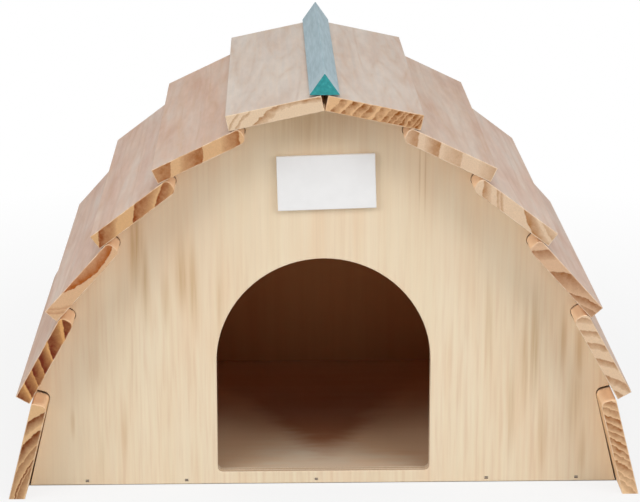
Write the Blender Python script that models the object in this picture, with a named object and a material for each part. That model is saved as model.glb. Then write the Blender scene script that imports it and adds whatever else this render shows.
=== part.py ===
"""Hedgehog house: an arched timber shelter of overlapping boards on two stepped plywood panels.

Run with: blender --background --python part.py
Units are metres and degrees. +Z is up, the doorway faces -Y, and the origin lies on the ground
under the middle of the house.
"""
import math

import bmesh
import bpy
from mathutils import Matrix, Vector

# Roof boards: all run from front to back, and each is tucked under the one above it by an
# edge that is rounded off on both faces
roof_length = 0.300
board_width = 0.0668
board_thickness = 0.011
board_slopes = (12.0, 25.5, 37.0, 48.0, 60.5, 75.5)
board_overlaps = (0.00725, 0.0065, 0.00685, 0.00395, 0.0012)
lap_gap = 0.0003
wall_lap_gap = 0.0018
ridge_half_gap = 0.0003
board_arris = 0.0005
board_round = 0.0040
board_round_limit_share = 0.45
board_round_steps = 3

# Wall boards: the lowest pair, which reach the ground and are cut level there
wall_top_height = 0.0721

# Panels: two plywood arches whose saw-tooth edges carry the boards
panel_thickness = 0.009
front_overhang = 0.0265
rear_overhang = 0.0020
seat_gap = 0.0003
riser_gap = 0.0011
wall_toe_gap = 0.0012
notch_steps = 4

# Doorway in the front panel
door_width = 0.1530
door_spring_height = 0.0925
door_sill_height = 0.0092
door_corner_radius = 0.0035
door_arch_steps = 40
door_corner_steps = 4

# Floor, which lies between the panels and rests on the ground with them
floor_thickness = 0.006
floor_side_clearance = 0.0010

# Ridge strip: a triangular moulding glued over the joint of the top boards
strip_width = 0.0212
strip_height = 0.0150
strip_arris = 0.0004

# Name plaque, glued a little askew to the front panel, its upper edge below the panel's apex
plaque_width = 0.0690
plaque_height = 0.0390
plaque_thickness = 0.0030
plaque_top_drop = 0.0360
plaque_offset = 0.0018
plaque_tilt = 1.7
plaque_arris = 0.0004

# Brads: 18-gauge wire nails with small rectangular heads
brad_length = 0.0250
brad_head_long = 0.0020
brad_head_short = 0.0013
brad_head_depth = 0.0005
brad_shank_long = 0.0012
brad_shank_short = 0.0010
brad_point_length = 0.0015
brad_point_share = 0.25
brad_clearance = 0.0003
roof_brad_set = 0.0010
floor_brad_set = 0.0003
roof_brad_share = 0.50
floor_brad_shares = (-0.810, -0.470, -0.025, 0.560, 0.870)

# How far a cutter runs past the face that it opens
cut_overrun = 0.002

# Finishes: sRGB colour, roughness, metallic
plywood_finish = ((0.87, 0.79, 0.65), 0.62, 0.0)
floor_finish = ((0.62, 0.47, 0.36), 0.70, 0.0)
whitewash_finish = ((0.80, 0.73, 0.68), 0.66, 0.0)
strip_finish = ((0.36, 0.66, 0.68), 0.50, 0.0)
plaque_finish = ((0.92, 0.92, 0.93), 0.45, 0.0)
steel_finish = ((0.45, 0.42, 0.40), 0.38, 1.0)

roof_front = -roof_length / 2
roof_back = roof_length / 2
front_face = roof_front + front_overhang
front_inner_face = front_face + panel_thickness
back_face = roof_back - rear_overhang
back_inner_face = back_face - panel_thickness
tucked_round = min(board_round, board_thickness * board_round_limit_share)
notch_round = tucked_round + riser_gap - seat_gap
sides = {"left": -1, "right": 1}


def clear_scene():
    """Removes whatever the open file holds."""
    for item in list(bpy.data.objects):
        bpy.data.objects.remove(item, do_unlink=True)


def linear(channel):
    """Turns one sRGB channel into the linear value that a shader takes."""
    if channel <= 0.04045:
        return channel / 12.92
    return ((channel + 0.055) / 1.055) ** 2.4


def give_finish(item, finish):
    """Gives an object a material of its own with a colour, a roughness and a metallic value."""
    colour, roughness, metallic = finish
    material = bpy.data.materials.new(item.name + "_finish")
    material.use_nodes = True
    shader = material.node_tree.nodes["Principled BSDF"]
    shader.inputs["Base Color"].default_value = [linear(value) for value in colour] + [1.0]
    shader.inputs["Roughness"].default_value = roughness
    shader.inputs["Metallic"].default_value = metallic
    item.data.materials.append(material)


def make_object(name, shape):
    """Turns a finished bmesh into an object of the scene."""
    mesh = bpy.data.meshes.new(name)
    bmesh.ops.recalc_face_normals(shape, faces=shape.faces)
    shape.to_mesh(mesh)
    shape.free()
    item = bpy.data.objects.new(name, mesh)
    bpy.context.scene.collection.objects.link(item)
    return item


def cut(item, cutter):
    """Cuts an object with a hidden guide solid."""
    cutter.hide_render = True
    cutter.display_type = "WIRE"
    modifier = item.modifiers.new("cut", "BOOLEAN")
    modifier.operation = "DIFFERENCE"
    modifier.solver = "EXACT"
    modifier.object = cutter


def add_prism(shape, outline, front, back):
    """Adds the solid between two upright planes whose outline is given as x and z points."""
    corners = [shape.verts.new((x, front, z)) for x, z in outline]
    face = shape.faces.new(corners)
    pulled = bmesh.ops.extrude_face_region(shape, geom=[face])["geom"]
    moved = [part for part in pulled if isinstance(part, bmesh.types.BMVert)]
    bmesh.ops.translate(shape, verts=moved, vec=(0, back - front, 0))


def bevel_long_edges(shape, width, steps, wanted):
    """Rounds the edges that run from front to back and whose x and z position is wanted."""
    edges = []
    for edge in shape.edges:
        start, end = (vertex.co for vertex in edge.verts)
        runs_back = abs(end.y - start.y) > abs(end.x - start.x) + abs(end.z - start.z)
        if runs_back and wanted(start):
            edges.append(edge)
    bmesh.ops.bevel(shape, geom=edges, offset=width, segments=steps, profile=0.5,
                    affect="EDGES", material=-1, clamp_overlap=True)


def lay_board(upper_corner, slope, width):
    """Places one board's section by the corner of its top face at the upper end."""
    angle = math.radians(slope)
    down = Vector((math.cos(angle), -math.sin(angle)))
    out = Vector((math.sin(angle), math.cos(angle)))
    return {
        "slope": angle,
        "down": down,
        "out": out,
        "width": width,
        "top_up": upper_corner,
        "top_low": upper_corner + down * width,
        "under_up": upper_corner - out * board_thickness,
        "under_low": upper_corner - out * board_thickness + down * width,
    }


def board_sections():
    """Works out the six sections of the right half, each hung under the one above it.

    The chain starts at the ridge. A rounded edge sits closer under the board above than a square
    one would, the more so the more the slope changes. The chain is then lifted until the wall
    board's upper end has its height, and the wall board is lengthened to the ground.
    """
    first = math.radians(board_slopes[0])
    start = Vector((ridge_half_gap, 0.0)) + board_thickness * Vector((math.sin(first), math.cos(first)))
    starts = [start]
    section = lay_board(start, board_slopes[0], board_width)
    for level, overlap in enumerate(board_overlaps, start=1):
        gap = wall_lap_gap if level == len(board_overlaps) else lap_gap
        bend = math.radians(board_slopes[level] - board_slopes[level - 1])
        gap -= tucked_round * (math.sin(bend) + math.cos(bend) - 1)
        start = section["under_low"] - section["down"] * overlap - section["out"] * gap
        starts.append(start)
        section = lay_board(start, board_slopes[level], board_width)
    lift = Vector((0.0, wall_top_height - starts[-1].y))
    sections = [lay_board(start + lift, slope, board_width)
                for start, slope in zip(starts, board_slopes)]
    wall = sections[-1]
    wall["width"] = wall["top_up"].y / math.sin(wall["slope"])
    wall["top_low"] = wall["top_up"] + wall["down"] * wall["width"]
    reach = wall["under_up"].y / math.sin(wall["slope"])
    wall["under_low"] = wall["under_up"] + wall["down"] * reach
    return sections


def crossing(point, direction, other_point, other_direction):
    """Returns where two lines of the section plane cross."""
    offset = other_point - point
    scale = direction.x * other_direction.y - direction.y * other_direction.x
    along = (offset.x * other_direction.y - offset.y * other_direction.x) / scale
    return point + direction * along


def notch(corner, down, out):
    """Returns the points of a notch's round inner corner, from its riser to its facet.

    A router leaves such a corner, and the round edge of the board lies close in it.
    """
    centre = corner + (down + out) * notch_round
    turns = [math.pi / 2 * step / notch_steps for step in range(notch_steps + 1)]
    return [centre - (down * math.cos(turn) + out * math.sin(turn)) * notch_round
            for turn in turns]


def panel_outline(sections):
    """Returns the saw-tooth outline of a panel.

    Each facet lies under one board. A riser, square to the next board, drops from it to the next
    facet, and leaves a narrow slit above that board's upper end.
    """
    seats = [section["under_up"] - section["out"] * seat_gap for section in sections]
    apex_drop = seats[0].x * math.tan(sections[0]["slope"])
    half = [Vector((0.0, seats[0].y + apex_drop))]
    for upper, lower, upper_seat, lower_seat in zip(sections, sections[1:], seats, seats[1:]):
        riser = lower["under_up"] - lower["down"] * riser_gap
        half.append(crossing(upper_seat, upper["down"], riser, lower["out"]))
        inner_corner = crossing(lower_seat, lower["down"], riser, lower["out"])
        half.extend(notch(inner_corner, lower["down"], lower["out"]))
    half.append(Vector((sections[-1]["under_low"].x - wall_toe_gap, 0.0)))
    mirrored = [Vector((-point.x, point.y)) for point in half[1:]]
    return half + mirrored[::-1]


def door_outline():
    """Returns the doorway's outline: a half round arch on straight sides with eased sill corners."""
    radius = door_width / 2
    points = []
    for step in range(door_arch_steps + 1):
        turn = math.pi * step / door_arch_steps
        points.append((radius * math.cos(turn), door_spring_height + radius * math.sin(turn)))
    for side in (-1, 1):
        centre_x = side * (radius - door_corner_radius)
        centre_z = door_sill_height + door_corner_radius
        begin = math.pi if side < 0 else 1.5 * math.pi
        for step in range(door_corner_steps + 1):
            turn = begin + 0.5 * math.pi * step / door_corner_steps
            points.append((centre_x + door_corner_radius * math.cos(turn),
                           centre_z + door_corner_radius * math.sin(turn)))
    return points


def ring(shape, centre_depth, long_size, short_size):
    """Adds one rectangle of a nail's loft, at a depth below the top of its head."""
    half_long = long_size / 2
    half_short = short_size / 2
    corners = ((-half_long, -half_short), (half_long, -half_short),
               (half_long, half_short), (-half_long, half_short))
    return [shape.verts.new((x, y, -centre_depth)) for x, y in corners]


def add_nail(shape, place, clearance, open_depth):
    """Adds a brad, or the socket that it needs, with its head's top centred on a place.

    The nail points along the place's own -Z. A clearance swells it into a socket, and an open
    depth carries the socket's mouth out above the head.
    """
    room = 2 * clearance
    neck = brad_head_depth + clearance
    point_start = brad_length - brad_point_length
    rings = (
        (-clearance - open_depth, brad_head_long + room, brad_head_short + room),
        (neck, brad_head_long + room, brad_head_short + room),
        (neck, brad_shank_long + room, brad_shank_short + room),
        (point_start, brad_shank_long + room, brad_shank_short + room),
        (brad_length + clearance, brad_shank_long + room,
         brad_shank_short * brad_point_share + room),
    )
    loops = [ring(shape, *size) for size in rings]
    shape.faces.new(loops[0])
    for above, below in zip(loops, loops[1:]):
        for corner in range(len(above)):
            following = (corner + 1) % len(above)
            shape.faces.new((above[corner], above[following], below[following], below[corner]))
    shape.faces.new(loops[-1][::-1])
    placed = [vertex for loop in loops for vertex in loop]
    bmesh.ops.transform(shape, matrix=place, verts=placed)


def roof_brad_place(section, side, panel_middle):
    """Returns where a board's brad goes down through it into a panel's edge."""
    spot = section["top_up"] + section["down"] * section["width"] * roof_brad_share
    spot = spot - section["out"] * roof_brad_set
    out = Vector((side * section["out"].x, 0.0, section["out"].y))
    along = Vector((0.0, 1.0, 0.0))
    turned = Matrix((along.cross(out), along, out)).transposed().to_4x4()
    return Matrix.Translation((side * spot.x, panel_middle, spot.y)) @ turned


def floor_brad_places(half_width, face, inward):
    """Returns where the brads go through a panel into the end of the floor."""
    places = []
    for share in floor_brad_shares:
        out = Vector((0.0, -inward, 0.0))
        across = Vector((1.0, 0.0, 0.0))
        turned = Matrix((across, out.cross(across), out)).transposed().to_4x4()
        spot = (share * half_width, face + inward * floor_brad_set, floor_thickness / 2)
        places.append(Matrix.Translation(spot) @ turned)
    return places


def make_brad(name, place):
    """Makes one steel brad."""
    shape = bmesh.new()
    add_nail(shape, place, 0.0, 0.0)
    brad = make_object(name, shape)
    give_finish(brad, steel_finish)


def make_sockets(name, places, open_depth):
    """Makes the guide solid of the sockets for brads at some places."""
    shape = bmesh.new()
    for place in places:
        add_nail(shape, place, brad_clearance, open_depth)
    return make_object(name, shape)


def make_board(name, section, side, is_tucked):
    """Makes one board with eased arrises and, where it is tucked under another, a round edge.

    The two top boards meet at the ridge with square edges.
    """
    corners = [section[key] for key in ("top_up", "top_low", "under_low", "under_up")]
    shape = bmesh.new()
    add_prism(shape, [(side * point.x, point.y) for point in corners], roof_front, roof_back)
    round_spots = [Vector((side * section[key].x, section[key].y))
                   for key in ("top_up", "under_up")]

    def at_round(corner):
        place = Vector((corner.x, corner.z))
        return is_tucked and any((place - spot).length < board_arris for spot in round_spots)

    bevel_long_edges(shape, board_arris, 1, lambda corner: not at_round(corner))
    bevel_long_edges(shape, tucked_round, board_round_steps, at_round)
    board = make_object(name, shape)
    give_finish(board, whitewash_finish)
    return board


def make_panel(name, outline, front, back):
    """Makes one saw-tooth plywood panel between two upright planes."""
    shape = bmesh.new()
    add_prism(shape, outline, front, back)
    panel = make_object(name, shape)
    give_finish(panel, plywood_finish)
    return panel


def make_door_cutter():
    """Makes the guide solid that cuts the doorway."""
    shape = bmesh.new()
    add_prism(shape, door_outline(), front_face - cut_overrun, front_inner_face + cut_overrun)
    return make_object("door_cutter", shape)


def make_floor(half_width):
    """Makes the floor board, which fits between the panels and clear of the walls."""
    outline = ((-half_width, 0.0), (half_width, 0.0),
               (half_width, floor_thickness), (-half_width, floor_thickness))
    shape = bmesh.new()
    add_prism(shape, outline, front_inner_face + seat_gap, back_inner_face - seat_gap)
    floor = make_object("floor_panel", shape)
    give_finish(floor, floor_finish)
    return floor


def make_ridge_strip(sections):
    """Makes the triangular moulding that closes the joint of the two top boards."""
    base = sections[0]["top_up"].y + seat_gap
    outline = ((-strip_width / 2, base), (strip_width / 2, base), (0.0, base + strip_height))
    shape = bmesh.new()
    add_prism(shape, outline, roof_front, roof_back)
    bevel_long_edges(shape, strip_arris, 1, lambda corner: True)
    strip = make_object("ridge_strip", shape)
    give_finish(strip, strip_finish)


def make_plaque(apex_height):
    """Makes the small board on the front panel, turned a little about its own middle."""
    centre_height = apex_height - plaque_top_drop - plaque_height / 2
    half_width = plaque_width / 2
    half_height = plaque_height / 2
    outline = ((-half_width, -half_height), (half_width, -half_height),
               (half_width, half_height), (-half_width, half_height))
    shape = bmesh.new()
    add_prism(shape, outline, -plaque_thickness, 0.0)
    front_edges = [edge for edge in shape.edges
                   if all(vertex.co.y < -plaque_thickness / 2 for vertex in edge.verts)]
    bmesh.ops.bevel(shape, geom=front_edges, offset=plaque_arris, segments=1, profile=0.5,
                    affect="EDGES", material=-1, clamp_overlap=True)
    plaque = make_object("name_plaque", shape)
    plaque.location = (plaque_offset, front_face - seat_gap, centre_height)
    plaque.rotation_euler = (0.0, -math.radians(plaque_tilt), 0.0)
    give_finish(plaque, plaque_finish)


def make_house():
    """Builds the panels, the floor, the boards and the nails that hold them."""
    sections = board_sections()
    outline = panel_outline(sections)
    front_panel = make_panel("front_panel", outline, front_face, front_inner_face)
    back_panel = make_panel("back_panel", outline, back_inner_face, back_face)
    cut(front_panel, make_door_cutter())

    wall = sections[-1]
    lean = floor_thickness / math.tan(wall["slope"])
    floor_half_width = wall["under_low"].x - lean - floor_side_clearance
    floor = make_floor(floor_half_width)

    panel_middles = {"front": (front_face + front_inner_face) / 2,
                     "back": (back_face + back_inner_face) / 2}
    panels = {"front": front_panel, "back": back_panel}
    driven = {end: [] for end in panels}
    for side_name, side in sides.items():
        for level, section in enumerate(sections, start=1):
            is_wall = level == len(sections)
            name = f"wall_board_{side_name}" if is_wall else f"roof_board_{level}_{side_name}"
            board = make_board(name, section, side, level > 1)
            places = {end: roof_brad_place(section, side, middle)
                      for end, middle in panel_middles.items()}
            for end, place in places.items():
                make_brad(f"brad_{end}_{side_name}_{level}", place)
                driven[end].append(place)
            cut(board, make_sockets(f"sockets_{name}", places.values(), 0.0))
    for end, panel in panels.items():
        cut(panel, make_sockets(f"sockets_{end}_roof", driven[end], 0.0))

    floor_ends = {"front": (front_face, 1), "back": (back_face, -1)}
    for end, (face, inward) in floor_ends.items():
        places = floor_brad_places(floor_half_width, face, inward)
        for number, place in enumerate(places, start=1):
            make_brad(f"brad_{end}_floor_{number}", place)
        sockets = make_sockets(f"sockets_{end}_floor", places, cut_overrun)
        cut(panels[end], sockets)
        cut(floor, sockets)

    make_ridge_strip(sections)
    make_plaque(outline[0].y)
    for item in bpy.context.scene.objects:
        if not item.hide_render:
            item.data.set_sharp_from_angle(angle=math.radians(30.0))
    top = sections[0]["top_up"].y + seat_gap + strip_height
    print("width", round(2 * wall["top_low"].x, 4), "height", round(top, 4), "length", roof_length)


clear_scene()
make_house()
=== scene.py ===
# %% [markdown]
# # A hedgehog house in whitewashed pine and plywood
# This script dresses a finished model of a small garden shelter. The model already holds every
# board, panel and nail at its real place. Each step below first says what a piece is on the real
# house, how it could be made, and why this way was chosen.

# %% The model
import math

import bmesh
import bpy
from mathutils import Matrix, Vector


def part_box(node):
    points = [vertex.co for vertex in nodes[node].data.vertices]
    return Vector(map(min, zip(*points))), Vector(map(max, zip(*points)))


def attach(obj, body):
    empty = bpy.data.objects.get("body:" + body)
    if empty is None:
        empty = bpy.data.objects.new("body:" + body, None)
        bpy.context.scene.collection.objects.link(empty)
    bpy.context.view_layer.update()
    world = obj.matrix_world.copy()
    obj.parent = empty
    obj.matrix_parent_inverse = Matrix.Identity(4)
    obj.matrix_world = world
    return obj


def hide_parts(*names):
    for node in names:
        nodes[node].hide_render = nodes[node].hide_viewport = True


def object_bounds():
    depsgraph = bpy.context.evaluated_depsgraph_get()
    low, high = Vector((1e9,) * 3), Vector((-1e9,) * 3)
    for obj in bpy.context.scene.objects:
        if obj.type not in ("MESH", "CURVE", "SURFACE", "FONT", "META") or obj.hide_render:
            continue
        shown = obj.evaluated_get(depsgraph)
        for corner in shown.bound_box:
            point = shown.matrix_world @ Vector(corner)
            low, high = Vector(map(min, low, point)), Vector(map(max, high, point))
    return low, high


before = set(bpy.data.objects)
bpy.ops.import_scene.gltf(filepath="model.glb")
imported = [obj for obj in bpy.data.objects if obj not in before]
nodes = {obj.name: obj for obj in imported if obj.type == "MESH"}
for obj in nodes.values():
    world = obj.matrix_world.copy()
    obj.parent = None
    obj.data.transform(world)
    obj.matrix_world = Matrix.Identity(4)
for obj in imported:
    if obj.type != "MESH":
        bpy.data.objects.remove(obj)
model_low, model_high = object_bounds()
mm = 0.001
print("pieces in the model:", len(nodes))

# %% [markdown]
# ## The camera
# The photograph looks down on the doorway from a little left of the middle. A camera could be
# turned by eye until the edges meet, but a camera fitted to the corners of the boards gives the
# lens, the place and the tilt at once. The lens is long, which keeps the arch almost without
# perspective.

# %% The camera
photo_width = 640
focal_pixels = 2235.0
sensor_width = 36.0
camera_place = Vector((-0.03838, -1.63858, 0.59906))
camera_dip = 0.2731
camera_swing = -0.0236

scene = bpy.context.scene
camera_data = bpy.data.cameras.new("camera")
camera_data.sensor_width = sensor_width
camera_data.lens = sensor_width * focal_pixels / photo_width
camera = bpy.data.objects.new("camera", camera_data)
camera.location = camera_place
camera.rotation_euler = (math.pi / 2 - camera_dip, 0.0, camera_swing)
scene.collection.objects.link(camera)
scene.camera = camera
scene.view_settings.view_transform = "Standard"
print("lens in mm:", round(camera_data.lens, 1))

# %% [markdown]
# ## Small helpers for materials
# Every finish is a small graph of nodes. One function adds a node with its settings and links,
# so that a graph reads from top to bottom, and another turns a colour from a paint chart, which
# is sRGB, into the linear colour that a shader takes.


# %% Helpers for materials
def linear(hex_colour):
    """Turns an sRGB hex colour into the linear colour of a shader."""
    channels = [int(hex_colour[start:start + 2], 16) / 255 for start in (1, 3, 5)]
    values = [c / 12.92 if c <= 0.04045 else ((c + 0.055) / 1.055) ** 2.4 for c in channels]
    return [*values, 1.0]


def add(tree, kind, inputs=None, stops=None, **settings):
    """Adds a shader node, gives it its settings, and sets or links its inputs."""
    node = tree.nodes.new("ShaderNode" + kind)
    for name, value in settings.items():
        setattr(node, name, value)
    for name, value in (inputs or {}).items():
        socket = node.inputs[name]
        if isinstance(value, bpy.types.NodeSocket):
            tree.links.new(value, socket)
        else:
            socket.default_value = value
    if stops:
        ramp = node.color_ramp
        while len(ramp.elements) < len(stops):
            ramp.elements.new(1.0)
        for element, (position, colour) in zip(ramp.elements, stops):
            element.position = position
            element.color = linear(colour) if isinstance(colour, str) else (colour,) * 3 + (1.0,)
    return node


def fresh_material(name):
    """Returns a new material with its node tree and its shader."""
    material = bpy.data.materials.new(name)
    material.use_nodes = True
    tree = material.node_tree
    return material, tree, tree.nodes["Principled BSDF"]


def per(size_in_mm):
    """Returns the scale of a noise whose lumps have about this size."""
    return 1.0 / (size_in_mm * mm)


print("a mid grey in linear light:", round(linear("#808080")[0], 3))

# %% [markdown]
# ## What several finishes share
# Noises of real sizes, a colour that darkens with a noise, a blend of two colours between two
# limits and a fine relief come up in most finishes. They could be written out each time, but
# written once they mean the same everywhere, and a finish then reads like its recipe.

# %% What several finishes share
# A Mix node has sockets for numbers, vectors and colours under the same names, so its colour
# sockets are taken by their places.
MIX_FACTOR, MIX_A, MIX_B, MIX_RESULT = 0, 6, 7, 2


def noises(tree, place, sizes, roughness, seed=0.0):
    """Adds one noise per layer. Each has its lumps' size in mm along x, y and z, and its detail."""
    layers = {}
    for layer, (*size, detail) in sizes.items():
        stretched = add(tree, "Mapping", {"Vector": place, "Location": [seed] * 3,
                                          "Scale": [per(side) for side in size]})
        layers[layer] = add(tree, "TexNoise", {
            "Vector": stretched.outputs[0], "Scale": 1.0, "Detail": detail,
            "Roughness": roughness}).outputs["Fac"]
    return layers


def darkened(tree, colour, noise, stops):
    """Darkens a colour where a noise is low, by as much as the greys of a ramp say."""
    grey = add(tree, "ValToRGB", {"Fac": noise}, stops=stops).outputs["Color"]
    return add(tree, "Mix", {MIX_FACTOR: 1.0, MIX_A: colour, MIX_B: grey},
               data_type="RGBA", blend_type="MULTIPLY").outputs[MIX_RESULT]


def between(tree, value, limits, first, second, shares=(0.0, 1.0), rise="LINEAR"):
    """Blends two colours by where a value lies between two limits."""
    share = add(tree, "MapRange", {
        "Value": value, "From Min": limits[0], "From Max": limits[1],
        "To Min": shares[0], "To Max": shares[1]}, interpolation_type=rise).outputs["Result"]
    return add(tree, "Mix", {MIX_FACTOR: share, MIX_A: first, MIX_B: second},
               data_type="RGBA").outputs[MIX_RESULT]


def surface(tree, shader, colour, roughness, relief=None, strength=0.0, depth=0.0):
    """Gives a shader its colour and roughness, and a relief that is so many mm deep."""
    tree.links.new(colour, shader.inputs["Base Color"])
    shader.inputs["Roughness"].default_value = roughness
    if relief is not None:
        bump = add(tree, "Bump", {"Height": relief, "Strength": strength, "Distance": depth * mm})
        tree.links.new(bump.outputs[0], shader.inputs["Normal"])


def seen_directly(tree):
    """Adds a switch that is on for the camera and in reflections, but not for plain light."""
    path = add(tree, "LightPath").outputs
    seen = add(tree, "Math", {0: path["Is Camera Ray"], 1: path["Is Glossy Ray"]},
               operation="MAXIMUM").outputs[0]
    return path, seen


print("scale of a noise with lumps of 5 mm:", round(per(5)))

# %% [markdown]
# ## How a board remembers its log
# The boards are sawn from fast-grown pine. A growth ring is pale where it began in spring, turns
# darker towards summer and stops abruptly. A wave texture could draw such rings, but all of them
# would be alike. So each board keeps a short record of its log: where the heart lay, and for each
# ring the place across the board where it ends, how dark it ends and how many millimetres it took
# to darken. The record becomes a colour ramp over the distance from the heart.

# %% Growth rings
ring_close = 0.35
ring_reopen = 0.15
wood_before_first = 12.0
wood_after_last = 6.0
shortest_spring = 0.1
paler_every_third = 0.25


def growth(log):
    """Turns a board's rings into the reach of a ramp in metres and its stops."""
    rings = sorted((math.hypot(end - log["across"], log["depth"]), dark, slow)
                   for end, dark, slow in log["rings"])
    nearest = rings[0][0] - wood_before_first
    reach = rings[-1][0] + wood_after_last - nearest
    stops, last = [(0.0, 0.0)], 0.0
    for radius, dark, slow in rings:
        end = radius - nearest
        begin = max(end - slow, last)
        if begin - last > shortest_spring:
            stops.append((begin / reach, 0.0))
        stops.append(((end - ring_close) / reach, dark))
        last = end + ring_reopen
        stops.append((last / reach, 0.0))
    return nearest * mm, (nearest + reach) * mm, stops


def even_rings(first, step, count, dark, slow):
    """Lists rings of one width, with a little change in darkness from one to the next."""
    return [(first + step * k, dark * (1.0 - paler_every_third * (k % 3 == 1)), slow)
            for k in range(count)]


print("rings of an even log end at:", [round(ring[0], 1) for ring in even_rings(-37, 6.2, 9, 1, 5)])

# %% [markdown]
# ## The wood under the paint
# The rings are one solid pattern, so the bands on a sawn end and the streaks along the faces come
# from the same wood. A painted texture would have to be matched at every edge. No tree grows in
# true circles: a wide noise lets the rings wander, and a finer one makes them ragged. The saw
# crosses the rings at the ends, so they are strong there, and they are faint on the long faces.

# %% The wood under the paint
board_grain = {
    # width, length and thickness of its lumps in mm, and its detail. All are drawn out along the
    # board, as fibres are. Pine's resin canals are a fifth of a millimetre wide and a brush's
    # bristles no thicker, too fine to show, so pores and brush marks are drawn coarser than real.
    "pore": (0.9, 22, 0.9, 3.0), "wander": (28, 120, 28, 3.0), "cloud": (17, 110, 17, 3.0),
    "mottle": (5, 24, 5, 3.0), "brush": (2.4, 80, 2.4, 3.0), "figure": (24, 300, 24, 0.6),
    "ragged": (3.2, 60, 3.2, 2.0),
}
noise_low, noise_high = 0.3, 0.7
patch_low, patch_high, patch_most = 0.36, 0.60, 1.1
face_contrast = 0.4
# A pale cream on the tucked edge, which lies in the shade of the board above: painted light.
painted_light_pine = "#F3CFAA"


def summer_wood(tree, local, grain, log):
    """Works out how dark the summer wood is at each place in a board."""
    heart = add(tree, "Mapping", {
        "Vector": local,
        "Location": (log["across"] * mm, 0, log["depth"] * mm),
        "Rotation": (math.radians(log["dip"]), 0, math.radians(log["drift"])),
    }, vector_type="TEXTURE").outputs[0]
    level = add(tree, "VectorMath", {0: heart, 1: (1, 0, 1)}, operation="MULTIPLY").outputs[0]
    radius = add(tree, "VectorMath", {0: level}, operation="LENGTH").outputs["Value"]
    for layer in ("wander", "ragged"):
        shift = add(tree, "MapRange", {
            "Value": grain[layer], "From Min": noise_low, "From Max": noise_high,
            "To Min": -log[layer] * mm, "To Max": log[layer] * mm}, clamp=False).outputs["Result"]
        radius = add(tree, "Math", {0: radius, 1: shift}, operation="ADD").outputs[0]
    nearest, furthest, stops = growth(log)
    along_ramp = add(tree, "MapRange", {"Value": radius, "From Min": nearest,
                                        "From Max": furthest}).outputs["Result"]
    ring = add(tree, "ValToRGB", {"Fac": along_ramp}, stops=stops).outputs["Color"]
    body = add(tree, "Math", {0: ring, 1: log["body"]}, operation="POWER").outputs[0]
    patchy = add(tree, "MapRange", {
        "Value": grain["mottle"], "From Min": patch_low, "From Max": patch_high,
        "To Min": log["patchy"], "To Max": patch_most}).outputs["Result"]
    dark = add(tree, "Math", {0: body, 1: patchy}, operation="MULTIPLY",
               use_clamp=True).outputs[0]
    sawn = add(tree, "Attribute", attribute_name="end_grain").outputs["Fac"]
    contrast = add(tree, "MapRange", {"Value": sawn, "To Min": face_contrast}).outputs["Result"]
    return add(tree, "Math", {0: dark, 1: contrast}, operation="MULTIPLY").outputs[0]


def bare_wood(tree, local, grain, log):
    """Mixes the colour of the bare wood, whose tucked edge is painted pale cream: painted light
    where the board above shades it.
    """
    summer = summer_wood(tree, local, grain, log)
    wood = add(tree, "Mix", {MIX_FACTOR: summer, MIX_A: linear(log["early"]),
                             MIX_B: linear(log["late"])}, data_type="RGBA").outputs[MIX_RESULT]
    grown = darkened(tree, wood, grain["pore"], ((0.28, 0.88), (0.62, 1.0)))
    painted_light_edge = add(tree, "Attribute", attribute_name="painted_light_edge").outputs["Fac"]
    return add(tree, "Mix", {MIX_FACTOR: painted_light_edge, MIX_A: grown, MIX_B: linear(painted_light_pine)},
               data_type="RGBA").outputs[MIX_RESULT]


print("noises in a board:", len(board_grain))

# %% [markdown]
# ## Whitewash
# The faces carry a thin whitewash that varies from grey to pink in long lumps, since it was
# brushed along the boards. Where it is thin the wood shows through, and now and then the grain
# draws a faint brown line in it. The lines could be drawn by hand. Here they are the contours of
# a very long noise, like the height lines of a map, so they close and branch as a flat-sawn
# figure does.

# %% Whitewash
figure_lines = 7.0
line_half_width = 0.24
line_strength = 0.50
line_brown = "#A88468"


def whitewash(tree, grain, caught, log):
    """Mixes the colour of the wash: cloudy, speckled, and with faint lines of the grain."""
    tone = add(tree, "ValToRGB", {"Fac": grain["cloud"]}, stops=(
        (0.30, log["pink"]), (0.50, log["wash"]), (0.78, log["chalk"]))).outputs["Color"]
    flat = darkened(tree, tone, grain["mottle"], ((0.30, 0.90), (0.62, 1.0)))
    contours = add(tree, "Math", {0: grain["figure"], 1: figure_lines},
                   operation="MULTIPLY").outputs[0]
    from_line = add(tree, "Math", {0: contours, 1: 0.5}, operation="PINGPONG").outputs[0]
    line = add(tree, "MapRange", {"Value": from_line, "From Max": line_half_width,
                                  "To Min": line_strength, "To Max": 0.0}).outputs["Result"]
    broken = add(tree, "Math", {0: line, 1: caught}, operation="MULTIPLY").outputs[0]
    return add(tree, "Mix", {MIX_FACTOR: broken, MIX_A: flat, MIX_B: linear(line_brown)},
               data_type="RGBA").outputs[MIX_RESULT]


print("contours of the figure:", figure_lines)

# %% [markdown]
# ## The finish of one board
# Three layers lie on the bare wood, each where a place or an attribute of the mesh asks for it: a
# brown tint inside the house, which is painted shade, a cream line along the sanded arrises of the
# ends, and the whitewash on the faces. Three separate materials would meet in hard seams, so one
# material mixes them all. The wood is matt, and its pores are felt as a slight roughness.

# %% The finish of one board
# The brown tint that darkens the wood inside the house is painted shade.
painted_shade_tint = "#F6C08C"
rim_cream = "#F6E0C6"
rim_least, rim_most = 0.05, 0.75
cover_most = 0.93
board_front = -150.0 * mm
inside_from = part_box("front_panel")[1].y - board_front
inside_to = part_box("back_panel")[0].y - board_front


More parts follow.
